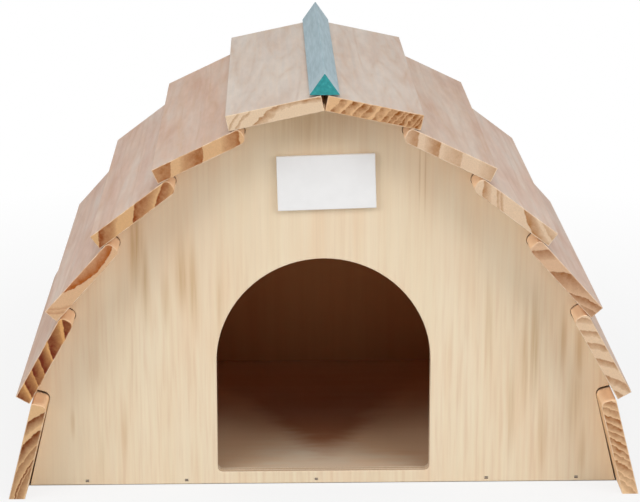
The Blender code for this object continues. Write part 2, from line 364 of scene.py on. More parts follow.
def pine(name, turn, front_end, log):
    """Makes the finish of one board from the log that it was sawn from.

    The pattern is read in the board's own axes: x along its width, to the right as seen from the
    front, y along its length from its front end, and z out of its face.
    """
    # Sawn pine under a chalky wash: dull all over, with crisp brown bands on the bare ends.
    material, tree, shader = fresh_material(name)
    place = add(tree, "TexCoord").outputs["Object"]
    local = add(tree, "Mapping", {"Vector": place, "Location": front_end, "Rotation": (0, turn, 0)},
                vector_type="TEXTURE").outputs[0]
    grain = noises(tree, local, board_grain, 0.6, log["seed"])
    bare = bare_wood(tree, local, grain, log)

    coat = add(tree, "Attribute", attribute_name="wash").outputs["Fac"]
    along = add(tree, "SeparateXYZ", {0: local}).outputs["Y"]
    # Between the panels the unwashed wood is multiplied by the brown tint: painted shade inside the
    # house.
    inside = add(tree, "Math", {0: along, 1: (inside_from + inside_to) / 2,
                                2: (inside_to - inside_from) / 2}, operation="COMPARE").outputs[0]
    painted_shade = add(tree, "Math", {0: inside, 1: coat}, operation="SUBTRACT",
                  use_clamp=True).outputs[0]
    brown = add(tree, "Mix", {MIX_FACTOR: painted_shade, MIX_A: bare, MIX_B: linear(painted_shade_tint)},
                data_type="RGBA", blend_type="MULTIPLY").outputs[MIX_RESULT]

    sanded = add(tree, "Attribute", attribute_name="sanded").outputs["Fac"]
    caught = add(tree, "MapRange", {"Value": grain["mottle"], "From Min": 0.38, "From Max": 0.60,
                                    "To Min": rim_least, "To Max": rim_most}).outputs["Result"]
    rim = add(tree, "Math", {0: sanded, 1: caught}, operation="MULTIPLY").outputs[0]
    edged = add(tree, "Mix", {MIX_FACTOR: rim, MIX_A: brown, MIX_B: linear(rim_cream)},
                data_type="RGBA").outputs[MIX_RESULT]

    chalky = whitewash(tree, grain, caught, log)
    cover = add(tree, "MapRange", {"Value": grain["brush"], "From Min": 0.32, "From Max": 0.60,
                                   "To Min": log["thin"], "To Max": cover_most}).outputs["Result"]
    amount = add(tree, "Math", {0: coat, 1: cover}, operation="MULTIPLY").outputs[0]
    colour = add(tree, "Mix", {MIX_FACTOR: amount, MIX_A: edged, MIX_B: chalky},
                 data_type="RGBA").outputs[MIX_RESULT]
    surface(tree, shader, colour, roughness=0.62, relief=grain["pore"], strength=0.3, depth=0.15)
    shader.inputs["Specular IOR Level"].default_value = 0.25
    return material


print("stained from", round(inside_from / mm), "to", round(inside_to / mm), "mm along a board")

# %% [markdown]
# ## From a node of the model to a finer piece
# A finer piece takes the place of a node of the model. Each one ends in the same way: its normals
# point outwards, it is shaded smoothly except across real edges, and it rides on the house's one
# body. A board leans at its own angle, which could be copied from a drawing, but it is safer to
# measure it on the model's own board.

# %% Helpers for finer pieces
smooth_below = math.radians(50)
sharp_above = math.radians(30)
flat_face_weight = 80


def board_axes(node):
    """Measures how far a board is turned about the y axis and its box in its own axes."""
    mesh = nodes[node].data
    outer = max((face for face in mesh.polygons if face.normal.z > 0), key=lambda face: face.area)
    turn = math.atan2(outer.normal.x, outer.normal.z)
    back = Matrix.Rotation(-turn, 3, "Y")
    points = [back @ vertex.co for vertex in mesh.vertices]
    low = Vector([min(point[axis] for point in points) for axis in range(3)])
    high = Vector([max(point[axis] for point in points) for axis in range(3)])
    return turn, low, high


def finished(name, shape, materials, node):
    """Turns a bmesh into a piece that stands for a node of the model."""
    bmesh.ops.recalc_face_normals(shape, faces=shape.faces)
    for face in shape.faces:
        face.smooth = True
    for edge in shape.edges:
        edge.smooth = edge.calc_face_angle(0.0) < smooth_below
    mesh = bpy.data.meshes.new(name)
    shape.to_mesh(mesh)
    shape.free()
    for material in materials:
        mesh.materials.append(material)
    piece = bpy.data.objects.new(name, mesh)
    scene.collection.objects.link(piece)
    weighted = piece.modifiers.new("flat faces stay flat", "WEIGHTED_NORMAL")
    weighted.weight = flat_face_weight
    weighted.keep_sharp = True
    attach(piece, "root")
    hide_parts(node)
    return piece


print("slope of the first right-hand board:",
      round(math.degrees(board_axes("roof_board_1_right")[0]), 1), "degrees")

# %% [markdown]
# ## The shape of a board
# Each board is a sawn length, eleven millimetres thick, with its arrises broken by sandpaper.
# The edge that is tucked under the board above is rounded off on both faces. Scaling the model's
# board would stretch its edges, so a finer one is made from a cube of the measured size: its
# edges are rounded in several steps, and its ends are inset so that the pale line of the sanded
# arris keeps its width all round. The tucked edge of a roof board reaches half a millimetre
# further into its notch than in the model, which leaves only a fine dark slit there. A wall board
# lies closer to the panels, keeps a clear slit above it, and is rounded less on its outer face.

# %% The shape of a board
arris = 0.4 * mm
rim_width = 0.35 * mm
tucked_round = 4.0 * mm
wall_round = 1.6 * mm
snug = 0.5 * mm
wall_snug = 0.25 * mm
wall_slit = 0.4 * mm
ground_margin = 10 * mm
smallest_end = (5 * mm) ** 2


def sawn_board(low, high, up_side, is_wall, is_top):
    """Shapes a board in its own axes and finds its upper edge and its two sawn ends."""
    shape = bmesh.new()
    bmesh.ops.create_cube(shape, size=1.0)
    bmesh.ops.scale(shape, vec=high - low, verts=shape.verts)
    bmesh.ops.translate(shape, vec=(low + high) / 2, verts=shape.verts)
    upper_edge = high.x if up_side > 0 else low.x
    middle = (low.z + high.z) / 2
    upper_verts = [v for v in shape.verts if abs(v.co.x - upper_edge) < mm]
    if is_wall:
        lower_verts = [v for v in shape.verts if (v.co.x - upper_edge) * up_side < -ground_margin]
        bmesh.ops.translate(shape, vec=(-up_side * ground_margin, 0, 0), verts=lower_verts)
        inner_verts = [v for v in shape.verts if v.co.z < middle]
        bmesh.ops.translate(shape, vec=(0, 0, -wall_snug), verts=inner_verts)
    further_up = -wall_slit if is_wall else 0.0 if is_top else snug
    bmesh.ops.translate(shape, vec=(up_side * further_up, 0, 0), verts=upper_verts)
    upper_edge += up_side * further_up

    tucked = [edge for edge in shape.edges
              if all(abs(v.co.x - upper_edge) < mm for v in edge.verts)
              and abs(edge.verts[0].co.y - edge.verts[1].co.y) > mm]
    for edge in [] if is_top else tucked:
        outer = is_wall and edge.verts[0].co.z > middle
        bmesh.ops.bevel(shape, geom=[edge], offset=wall_round if outer else tucked_round,
                        segments=6, profile=0.5, affect="EDGES", material=-1)
    sharp = [edge for edge in shape.edges if edge.calc_face_angle() > sharp_above]
    bmesh.ops.bevel(shape, geom=sharp, offset=arris, segments=3, profile=0.5,
                    affect="EDGES", material=-1)
    ends = [face for face in shape.faces
            if abs(face.normal.y) > 0.99 and face.calc_area() > smallest_end]
    bmesh.ops.inset_region(shape, faces=ends, thickness=rim_width, use_even_offset=True)
    return shape, upper_edge, ends


print("rounding of a tucked edge in mm:", round(tucked_round / mm, 1))

# %% [markdown]
# ## Marks for the finish
# The finish has to know which parts of a board are washed, sanded or sawn across, and which lie on
# the tucked edge, whose pale cream is painted light. The board could be unwrapped and painted, but
# its four zones follow from its shape, so each vertex gets a number for each zone. The lowest
# boards are cut level at the ground after they are turned, as they would be on the bench.

# %% Marks for the finish
painted_light_share = 0.85
sanded_on_face = 0.3
outside_skin = 0.4 * arris
washed_past_end = 0.3 * arris
sanded_to = 0.6 * arris
painted_light_reach = 0.9 * tucked_round
painted_light_above_inner_face = 0.1 * tucked_round


def mark_zones(shape, low, high, up_side, is_wall, upper_edge, ends):
    """Gives each vertex its share of wash, painted light on the tucked edge, sanding and end grain.
    """
    wash = shape.verts.layers.float.new("wash")
    sanded = shape.verts.layers.float.new("sanded")
    painted_light_edge = shape.verts.layers.float.new("painted_light_edge")
    end_grain = shape.verts.layers.float.new("end_grain")
    end_plane = {vertex for face in ends for vertex in face.verts}
    for vertex in shape.verts:
        from_end = min(vertex.co.y - low.y, high.y - vertex.co.y)
        from_lower_edge = abs(vertex.co.x - (low.x if up_side > 0 else high.x))
        on_outside = high.z - vertex.co.z < outside_skin
        on_outside = on_outside or (from_lower_edge < outside_skin and not is_wall)
        on_tucked_edge = (abs(vertex.co.x - upper_edge) < painted_light_reach
                          and vertex.co.z > low.z + painted_light_above_inner_face)
        vertex[wash] = float(on_outside and from_end > washed_past_end)
        # The tucked edge gets its pale cream, painted light where the board above shades it.
        vertex[painted_light_edge] = painted_light_share * float(on_tucked_edge and from_end > washed_past_end)
        vertex[end_grain] = float(vertex in end_plane)
        vertex[sanded] = float(from_end < sanded_to and vertex not in end_plane)
        vertex[sanded] *= sanded_on_face if on_outside or on_tucked_edge else 1.0


def finer_board(node, log):
    """Makes a board with rounded arrises in the place of a node."""
    turn, low, high = board_axes(node)
    is_wall = node.startswith("wall_board")
    is_top = node.startswith("roof_board_1")
    up_side = -1 if turn > 0 else 1
    shape, upper_edge, ends = sawn_board(low, high, up_side, is_wall, is_top)
    mark_zones(shape, low, high, up_side, is_wall, upper_edge, ends)
    lean = Matrix.Rotation(turn, 3, "Y")
    bmesh.ops.rotate(shape, cent=(0, 0, 0), matrix=lean, verts=shape.verts)
    if is_wall:
        cut = bmesh.ops.bisect_plane(shape, geom=[*shape.verts, *shape.edges, *shape.faces],
                                     plane_co=(0, 0, 0), plane_no=(0, 0, -1), clear_outer=True)
        foot = [part for part in cut["geom_cut"] if isinstance(part, bmesh.types.BMEdge)]
        bmesh.ops.contextual_create(shape, geom=foot)
    front_end = lean @ Vector(((low.x + high.x) / 2, low.y, (low.z + high.z) / 2))
    material = pine(f"whitewashed_pine_{node}", turn, front_end, log)
    return finished(f"{node}_sawn", shape, [material], node)


print("width of the pale line in mm:", round(rim_width / mm, 2))

# %% [markdown]
# ## Twelve boards from twelve logs
# The ends of the boards are what one sees first: some show one wide dark band, others a row of
# fine ones. The places below are millimetres across the board from its middle, to the right as
# seen from the front, and the heart's depth is measured out of the board's face. A log keeps only
# what sets it apart from a plain one.

# %% The twelve boards
plain_log = {"body": 0.6, "dip": 0.6, "drift": 0.4, "wander": 0.9, "seed": 0.0, "thin": 0.80,
             "patchy": 0.75, "ragged": 0.45, "early": "#E6BC8C", "late": "#B07042",
             "wash": "#C7AD9D", "pink": "#BE9D8B", "chalk": "#CBBEB3"}
greyer_wash = {"wash": "#CAB1A3", "pink": "#C1A191", "chalk": "#CEC2B8"}
darker_wash = {"wash": "#C2AB9C", "pink": "#B99A89", "chalk": "#C7BBB0"}
seed_step = 3.7  # keeps the noises of two boards apart
board_logs = {
    # Each ring says where it ends, how dark it ends, and over how many millimetres it darkens.
    "roof_board_1_left": {
        "across": 19, "depth": -57, "early": "#E6CAAA", "late": "#A87444", "dip": 0.2,
        "wander": 2.6,
        "rings": [(-31, 0.45, 2.0), (-24, 0.4, 2.0), (-9, 0.8, 4.0)],
        "wash": "#C6B9AF", "pink": "#BEA99B", "chalk": "#CDC4BB"},
    "roof_board_1_right": {
        "across": 150, "depth": -80, "early": "#E2B688", "late": "#8A4A08", "wander": 2.0,
        "body": 0.42, "patchy": 0.5, "ragged": 0.75,
        "rings": [(-28.2, 0.5, 5), (-20.3, 0.8, 6), (-12.4, 0.95, 6), (-6.4, 0.6, 5),
                  (2, 0.6, 6), (9.3, 0.95, 6), (14, 1.0, 5), (18.4, 0.6, 4), (21.4, 0.85, 3),
                  (25.4, 0.95, 4), (29.4, 0.75, 3.6), (32.3, 0.95, 3)],
        "wash": "#C5B8AE", "pink": "#BEA89B", "chalk": "#CCC3BB"},
    "roof_board_2_left": {
        "across": -90, "depth": 43, "early": "#DAAE80", "late": "#96521C",
        "rings": [(-46, 0.6, 14), (-21.3, 0.95, 16), (3.8, 0.9, 16), (31, 0.75, 13),
                  (50, 0.6, 12)]},
    "roof_board_2_right": {
        **darker_wash, "across": -90, "depth": -25, "early": "#E3C5A6", "late": "#A8703C",
        "rings": [(-58, 0.5, 10), (-25, 0.7, 10), (-8.3, 0.8, 11), (8, 0.3, 14), (34, 0.25, 12)]},
    "roof_board_3_left": {
        **greyer_wash, "across": 70, "depth": -72, "early": "#DAAC7A", "late": "#883E06",
        "body": 0.54,
        "rings": [(-48, 0.6, 10), (-30, 0.95, 12), (0, 0.95, 13), (22.3, 0.95, 10),
                  (40, 0.6, 12)]},
    "roof_board_3_right": {
        **greyer_wash, "across": 44, "depth": 50, "early": "#E4C6A6", "late": "#AC7440",
        "rings": [(-29, 0.7, 6), (-17, 0.45, 2.5), (-14, 0.45, 2), (9.5, 0.9, 7),
                  (30, 0.3, 6)]},
    "roof_board_4_left": {
        **greyer_wash, "across": 14.4, "depth": 52.2, "early": "#DCB28A", "late": "#A65614",
        "body": 0.8, "patchy": 0.9,
        "rings": [(-31, 0.35, 2.5), (-27, 0.3, 2), (-2.9, 1.0, 11)]},
    "roof_board_4_right": {
        **greyer_wash, "across": 45, "depth": -55, "early": "#DCB491", "late": "#965C2C",
        "body": 0.75,
        "rings": [(-47, 0.6, 12), (-29, 0.75, 8), (-6.9, 0.85, 14), (17.6, 0.85, 15),
                  (36, 0.5, 10)]},
    "roof_board_5_left": {
        "across": 76, "depth": -66, "early": "#DCA466", "late": "#6E2400", "body": 0.42,
        "patchy": 0.85,
        "rings": [(-35, 0.8, 7), (-25, 0.85, 8), (-15, 0.9, 8), (-5, 0.95, 8.5), (8, 1.0, 11),
                  (27.8, 0.95, 14)]},
    "roof_board_5_right": {
        "across": 71, "depth": -70, "early": "#E8C8A6", "late": "#A46C3A", "body": 0.5,
        "rings": [(-33, 0.4, 4), (-22, 0.5, 4), (-11.4, 0.6, 4.5), (2.5, 0.7, 4.5),
                  (19.2, 0.7, 5), (35, 0.5, 5)]},
    "wall_board_left": {
        "across": -35, "depth": -71, "early": "#E2B888", "late": "#763602", "body": 0.56,
        "patchy": 0.9,
        "rings": [(28, 0.9, 7), (12, 1.0, 8), (-2, 0.45, 5), (-18.5, 0.9, 6), (-40, 0.5, 5)]},
    "wall_board_right": {
        "across": 77, "depth": -77, "early": "#F4CEA2", "late": "#98561C", "ragged": 0.6,
        "rings": even_rings(-37, 6.2, 9, 0.85, 5.5) + [(22, 0.35, 4), (30, 0.3, 4)]},
}
for number, (node, log) in enumerate(board_logs.items()):
    finer_board(node, {**plain_log, "seed": seed_step * number, **log})
print("boards:", len(board_logs))

# %% [markdown]
# ## The figure of a veneer
# Both arched panels and the floor are nine and six millimetre plywood with a pale poplar veneer,
# whose grain runs upright on the panels and from side to side on the floor. A veneer is peeled from
# the log, so its figure is long soft streaks and not rings. Several noises of real sizes, all drawn
# out along the grain, give the clouds, the streaks and the fine fibre. A few darker flames are
# listed one by one where this veneer has them, because a noise alone would never put them there.
# The broad last flame, under the apex, is painted shade from the roof, and the two paler areas low
# at either side are painted light.

# %% The figure of a veneer
veneer_grain = {
    # width across the grain and length along it, in mm. Poplar's fibres are a few hundredths of a
    # millimetre wide, too fine to show, so fibre, thread and ripple are drawn coarser than real.
    "cloud": (60, 130), "streak": (11, 170), "thread": (2.2, 70), "fibre": (1.5, 80),
    "ripple": (2.8, 56), "border_sway": (26, 60), "border_grit": (7, 24),
}
front_flames = (
    # across, height, half width, half length in mm, strength
    (-132, 178, 8.0, 46, 0.70), (-126, 150, 5.0, 50, 0.50), (-100, 160, 6.5, 40, 0.60),
    (-92, 150, 6.0, 46, 0.60), (-112, 138, 5.0, 32, 0.35), (-74, 142, 4.0, 40, 0.30),
    (67, 233, 1.0, 42, 0.45), (71, 228, 1.0, 46, 0.40),
    (151, 108, 5.5, 66, 0.60), (144, 90, 4.0, 60, 0.38), (171, 108, 4.5, 36, 0.45),
    (183, 100, 6.0, 38, 0.48),
    (180, 62, 9.0, 42, 0.36), (187, 22, 4.0, 34, 0.40), (158, 36, 5.0, 44, 0.40),
    (-180, 47, 2.6, 18, 0.35), (-143, 42, 4.0, 32, 0.28), (-160, 20, 4.0, 32, 0.22),
    (135, 60, 5.0, 60, 0.35), (118, 120, 4.5, 60, 0.35), (-60, 70, 4.5, 60, 0.25),
    # This broad flame under the apex is painted shade from the roof above it.
    (-8, 268, 60.0, 34, 0.40),
)
# Two paler areas low at either side of the front are painted light, lifting the shade of the porch
# near the wall boards.
front_painted_light = ((-196, 30, 52, 110, 0.85), (200, 30, 44, 100, 0.30))
flame_brown, painted_light_cream = "#C8A06A", "#FFEDCE"
ripple_rosy, ripple_pale = "#DCB48E", "#FCF0D2"
ripple_low, ripple_high = 90 * mm, 190 * mm
ripple_strong, ripple_weak = 0.26, 0.10


def patches(tree, place, spots):
    """Makes the mask of soft upright patches on a panel's face."""
    mask = 0.0
    for across, height, half_width, half_length, strength in spots:
        spot = add(tree, "Mapping", {
            "Vector": place, "Location": (across * mm, 0, height * mm),
            "Scale": (half_width * mm, 1, half_length * mm)}, vector_type="TEXTURE").outputs[0]
        level = add(tree, "VectorMath", {0: spot, 1: (1, 0, 1)}, operation="MULTIPLY").outputs[0]
        glow = add(tree, "TexGradient", {0: level}, gradient_type="SPHERICAL").outputs["Fac"]
        share = add(tree, "MapRange", {"Value": glow, "To Max": strength},
                    interpolation_type="SMOOTHSTEP").outputs["Result"]
        mask = add(tree, "Math", {0: mask, 1: share}, operation="MAXIMUM").outputs[0]
    return mask


def rippled(tree, place, grain, colour):
    """Adds rosy and pale ripples, which are livelier near the foot of a panel."""
    height = add(tree, "SeparateXYZ", {0: place}).outputs["Z"]
    lively = add(tree, "MapRange", {
        "Value": height, "From Min": ripple_low, "From Max": ripple_high,
        "To Min": ripple_strong, "To Max": ripple_weak}).outputs["Result"]
    for tone, begin, end in ((ripple_rosy, 0.50, 0.68), (ripple_pale, 0.47, 0.32)):
        share = add(tree, "MapRange", {"Value": grain["ripple"], "From Min": begin,
                                       "From Max": end}).outputs["Result"]
        ripple = add(tree, "Math", {0: share, 1: lively}, operation="MULTIPLY").outputs[0]
        colour = add(tree, "Mix", {MIX_FACTOR: ripple, MIX_A: colour, MIX_B: linear(tone)},
                     data_type="RGBA").outputs[MIX_RESULT]
    return colour


def flamed(tree, place, grain, colour, flames):
    """Adds the two paler areas of painted light and the flames, whose threads are darker than their
    ground; the broad flame under the apex is painted shade.
    """
    broad = patches(tree, place, front_painted_light)
    colour = add(tree, "Mix", {MIX_FACTOR: broad, MIX_A: colour, MIX_B: linear(painted_light_cream)},
                 data_type="RGBA").outputs[MIX_RESULT]
    figure = patches(tree, place, flames)
    thread = add(tree, "MapRange", {"Value": grain["thread"], "From Min": 0.38, "From Max": 0.62,
                                    "To Min": 0.6, "To Max": 1.15}).outputs["Result"]
    figure = add(tree, "Math", {0: figure, 1: thread}, operation="MULTIPLY",
                 use_clamp=True).outputs[0]
    return add(tree, "Mix", {MIX_FACTOR: figure, MIX_A: colour, MIX_B: linear(flame_brown)},
               data_type="RGBA").outputs[MIX_RESULT]


print("flames:", len(front_flames))

# %% [markdown]
# ## Painted shade indoors
# Inside the house the veneer carries a brown tint, which is painted shade. It multiplies the wood's
# own colour, as a thin stain would. On the rear panel it is darker towards the foot. On the floor
# it is left off at the doorway, where light falls in, further back along the sides than in the
# middle, with a ragged border, and it is darkest just behind that border. A plain ramp would end in
# a straight line, so two noises push the border to and fro.

# %% Painted shade indoors
border_wobble = 35 * mm
tone_wobble = 60 * mm
rounded_over = 60 * mm
tone_turns = 0.8
beside_reach = (4 * mm, 54 * mm)
middle_to_rear = (-30 * mm, 130 * mm)


def painted_indoor_shade(tree, place, grain, shade_colour, fade):
    """Mixes a painted shade that changes along an axis from the tone of its near end.

    A fade with a reach is paler at its near end, at the doorway where light falls in: the reach
    says how much further back the paler part goes for each metre aside from the middle.
    """
    spot = add(tree, "SeparateXYZ", {0: place}).outputs
    near, depth, far = linear(fade["near"]), spot[fade["axis"]], shade_colour
    if "reach" in fade:
        mirrored = add(tree, "Math", {0: spot["X"], 1: -1.0}, operation="MULTIPLY").outputs[0]
        aside = add(tree, "Math", {0: spot["X"], 1: mirrored, 2: rounded_over},
                    operation="SMOOTH_MAX").outputs[0]
        depth = add(tree, "Math", {0: aside, 1: -fade["reach"], 2: depth},
                    operation="MULTIPLY_ADD").outputs[0]
        for layer in ("border_sway", "border_grit"):
            depth = add(tree, "Math", {0: grain[layer], 1: border_wobble, 2: depth},
                        operation="MULTIPLY_ADD").outputs[0]
            aside = add(tree, "Math", {0: grain[layer], 1: tone_wobble, 2: aside},
                        operation="MULTIPLY_ADD").outputs[0]
        aside = add(tree, "Math", {0: spot["Y"], 1: tone_turns, 2: aside},
                    operation="MULTIPLY_ADD").outputs[0]
        near = between(tree, aside, beside_reach, near, linear(fade["beside"]))
        far = between(tree, spot["Y"], middle_to_rear, linear(fade["middle"]), shade_colour)
    return between(tree, depth, (fade["begin"], fade["end"]), near, far, rise="SMOOTHSTEP")


print("the unshaded border sways by mm:", round(2 * border_wobble / mm))

# %% [markdown]
# ## The face of plywood
# The face puts its layers together in the order in which they lie: a cream ground with rosy clouds
# and pale streaks, then ripples and flames on bare wood, the fine fibre, and the brown tint of
# painted shade on top. One function makes all the faces, bare or with painted shade, so that they
# look cut from one sheet.

# %% The face of plywood
veneer_cream, veneer_pale, veneer_rosy = "#F3DEBE", "#F9EACF", "#F0D0AD"
veneer_detail = 2.0


def veneer(name, along, flames=(), tint=None, fade=None):
    """Makes the face of a plywood panel, with its grain along one axis."""
    # Sanded poplar: pale and even, with a soft dull sheen and hardly any relief.
    material, tree, shader = fresh_material(name)
    place = add(tree, "TexCoord").outputs["Object"]
    sizes = {layer: [length if axis == along else width for axis in range(3)] + [veneer_detail]
             for layer, (width, length) in veneer_grain.items()}
    grain = noises(tree, place, sizes, 0.5)
    clouded = between(tree, grain["cloud"], (0.42, 0.66), linear(veneer_cream),
                      linear(veneer_rosy), shares=(0.0, 0.65))
    colour = between(tree, grain["streak"], (0.40, 0.65), clouded, linear(veneer_pale),
                     shares=(0.1, 0.45))
    if not tint:
        colour = rippled(tree, place, grain, colour)
    if flames:
        colour = flamed(tree, place, grain, colour, flames)
    colour = darkened(tree, colour, grain["fibre"], ((0.28, 0.975), (0.60, 1.0)))
    # Inside the house a brown tint multiplies the wood: painted shade.
    if tint:
        shade_colour = painted_indoor_shade(tree, place, grain, linear(tint), fade) if fade else linear(tint)
        colour = add(tree, "Mix", {MIX_FACTOR: 1.0, MIX_A: colour, MIX_B: shade_colour},
                     data_type="RGBA", blend_type="MULTIPLY").outputs[MIX_RESULT]
    surface(tree, shader, colour, roughness=0.6, relief=grain["fibre"], strength=0.15, depth=0.1)
    shader.inputs["Specular IOR Level"].default_value = 0.3
    return material


print("noises in a veneer:", len(veneer_grain))

# %% [markdown]
# ## The sawn edge of plywood
# A sawn edge shows the plies, which turn a quarter from one to the next, so that every other one
# is end grain and darker. Stripes could be modelled ply by ply, but a wave of the right length
# draws them, and a fine noise gives them the saw's grit.

# %% The sawn edge of plywood
ply_thickness = 1.8 * mm
metres_per_wave = 2 * math.pi / 20.0  # of a wave texture at a scale of 1
grit = 0.8  # mm; a saw's grit is finer, but that would not show


def layered_edge(name, across, first_ply, pale, dark):
    """Makes the sawn edge of plywood, whose plies are stacked along one axis."""
    # A sawn and lightly sanded edge: rougher than the face, in pale and darker stripes.
    material, tree, shader = fresh_material(name)
    place = add(tree, "TexCoord").outputs["Object"]
    moved = add(tree, "Mapping", {"Vector": place, "Location": [
        -first_ply if axis == across else 0.0 for axis in range(3)]}).outputs[0]
    plies = add(tree, "TexWave", {"Vector": moved, "Scale": metres_per_wave / (2 * ply_thickness)},
                wave_type="BANDS", bands_direction="XYZ"[across],
                wave_profile="TRI").outputs["Fac"]
    colour = add(tree, "ValToRGB", {"Fac": plies},
                 stops=((0.46, pale), (0.54, dark))).outputs["Color"]
    rough = add(tree, "TexNoise", {"Vector": place, "Scale": per(grit),
                                   "Detail": 2.0}).outputs["Fac"]
    colour = darkened(tree, colour, rough, ((0.3, 0.8), (0.7, 1.0)))
    surface(tree, shader, colour, roughness=0.75)
    return material


print("plies in a nine millimetre panel:", round(9 * mm / ply_thickness))

# %% [markdown]
# ## The three panels
# The panels' outlines, notches and nail holes are right in the model, so a finer panel starts from
# a copy of the model's own mesh. The copy's loose triangles are first joined into whole faces,
# because a bevel needs true edges. Then the rims of both broad faces are broken, and each face gets
# its finish: bare outside, a brown tint of painted shade inside, stripes on the edges. The edges
# that the boards hide get a dark brown, which is painted shade, so that no pale line shows in the
# slits.

# %% Helpers for the panels
same_place = 0.002 * mm
same_plane = math.radians(1.0)
on_face = 0.01 * mm
nail_band = (0.5 * mm, 6 * mm)
facing = 0.6
doorway_half_width = 80 * mm
doorway_top = 175 * mm


def merged_copy(node):
    """Copies a node's mesh and joins its loose triangles into whole faces."""
    shape = bmesh.new()
    shape.from_mesh(nodes[node].data)
    bmesh.ops.remove_doubles(shape, verts=shape.verts, dist=same_place)
    bmesh.ops.dissolve_limit(shape, angle_limit=same_plane, verts=shape.verts, edges=shape.edges)
    return shape


def eased_panel(node, axis, rounding, materials, inner=0):
    """Makes a panel with broken arrises, its broad faces across one axis."""
    low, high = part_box(node)
    shape = merged_copy(node)

    def on_rim(edge):
        """Finds the sharp edges of both broad faces, but not the rims of the nail holes."""
        if edge.calc_face_angle(0.0) < sharp_above:
            return False
        for plane in (low[axis], high[axis]):
            if all(abs(v.co[axis] - plane) < on_face for v in edge.verts):
                return axis == 2 or not all(nail_band[0] < v.co.z < nail_band[1]
                                            for v in edge.verts)
        return False

    rim = [edge for edge in shape.edges if on_rim(edge)]
    bmesh.ops.bevel(shape, geom=rim, offset=rounding, segments=2, profile=0.5, affect="EDGES",
                    material=-1, clamp_overlap=True)
    for face in shape.faces:
        face.material_index = 0 if abs(face.normal[axis]) > facing else 1
        # Inner faces take the brown tint of painted shade.
        if inner and face.normal[axis] * inner > facing:
            face.material_index = 2
        # Edges that the boards hide take the dark brown of painted shade in the slits.
        middle = face.calc_center_median()
        under_boards = abs(middle.x) > doorway_half_width or middle.z > doorway_top
        if inner and face.material_index == 1 and under_boards:
            face.material_index = 3
    return finished(f"{node}_eased", shape, materials, node)


print("edges in the front panel before and after joining:",
      len(nodes["front_panel"].data.edges), len(merged_copy("front_panel").edges))

# %% The three panels
front_low, front_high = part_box("front_panel")
back_low, back_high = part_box("back_panel")
floor_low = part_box("floor_panel")[0]
front_face = veneer("poplar_veneer_front", 2, flames=front_flames)
back_face = veneer("poplar_veneer_back", 2)
# The brown tint of the inner faces is painted shade: darker at the foot of the rear panel, and on
# the floor paler at the doorway where light falls in.
painted_shade_face = veneer("poplar_veneer_painted_shade", 2, tint=painted_shade_tint)
rear_face = veneer("poplar_veneer_painted_shade_rear", 2, tint=painted_shade_tint, fade={
    "axis": "Z", "near": "#B08460", "begin": -60 * mm, "end": 150 * mm})
floor_face = veneer("poplar_veneer_floor", 0, tint="#E6D4CE", fade={
    "axis": "Y", "near": "#E8E6E8", "beside": "#E9D6C8", "middle": "#C0947E",
    "begin": front_high.y + 27 * mm, "end": front_high.y + 93 * mm, "reach": 2.3})
front_edge = layered_edge("plywood_edge_front", 1, front_low.y, "#E8D3B8", "#CFAF8C")
back_edge = layered_edge("plywood_edge_back", 1, back_low.y, "#EBD3B2", "#D2AE86")
# A dark brown for the edges under the boards: painted shade in the slits.
hidden_edge = layered_edge("plywood_edge_painted_shade", 1, front_low.y, "#5E4028", "#4A301C")
floor_edge = layered_edge("plywood_edge_floor", 2, floor_low.z, "#EBD3B2", "#D2AE86")
eased_panel("front_panel", 1, 0.5 * mm, [front_face, front_edge, painted_shade_face, hidden_edge],
            inner=1)
eased_panel("back_panel", 1, 0.5 * mm, [back_face, back_edge, rear_face, hidden_edge],
            inner=-1)
eased_panel("floor_panel", 2, 0.4 * mm, [floor_face, floor_edge])
print("doorway to rear panel in mm:", round((back_low.y - front_high.y) / mm))

# %% [markdown]
# ## Ridge strip
# The strip is a triangular moulding under two coats: teal, and a pale blue brushed over its sides,
# which leaves the end teal. Near the front the blue is paler. Two materials could share the strip,
# but one that reads an attribute keeps the paint's edge exactly on the arris.

# %% Ridge strip
# width, length and height of a stroke in mm, and its detail; the mark of a bristle is finer, but
# that would not show
stroke_layer = {"stroke": (3, 30, 3, 4.0)}
speck_size = 2.2
# The blue of the sides is paler within about 25 mm of the front end.
front_paler_blue = "#9FB3BA"
front_paler_end = (board_front + 24 * mm, board_front + 26 * mm)
front_paler_share = 0.35
end_depth = 0.05 * mm
strip_sharp = math.radians(20)


def brushed_paint(name):
    """Makes the strip's paint: pale blue strokes along the sides and teal on the ends."""
    # Satin garden paint, brushed: soft highlights that break up along the strokes.
    material, tree, shader = fresh_material(name)
    place = add(tree, "TexCoord").outputs["Object"]
    brushed = noises(tree, place, stroke_layer, 0.6)["stroke"]
    sides = add(tree, "ValToRGB", {"Fac": brushed}, stops=(
        (0.3, "#788F97"), (0.5, "#859DA6"), (0.7, "#94AAB3"))).outputs["Color"]
    forward = add(tree, "SeparateXYZ", {0: place}).outputs["Y"]
    sides = between(tree, forward, front_paler_end, sides, linear(front_paler_blue),
                    shares=(front_paler_share, 0.0))
    speck = add(tree, "TexNoise", {"Vector": place, "Scale": per(speck_size),
                                   "Detail": 3.0}).outputs["Fac"]
    teal = add(tree, "ValToRGB", {"Fac": speck}, stops=(
        (0.3, "#167F82"), (0.6, "#259294"), (0.8, "#42A8A6"))).outputs["Color"]
    end = add(tree, "Attribute", attribute_name="end").outputs["Fac"]
    colour = add(tree, "Mix", {MIX_FACTOR: end, MIX_A: sides, MIX_B: teal},
                 data_type="RGBA").outputs[MIX_RESULT]
    surface(tree, shader, colour, roughness=0.5, relief=brushed, strength=0.25, depth=0.1)
    return material


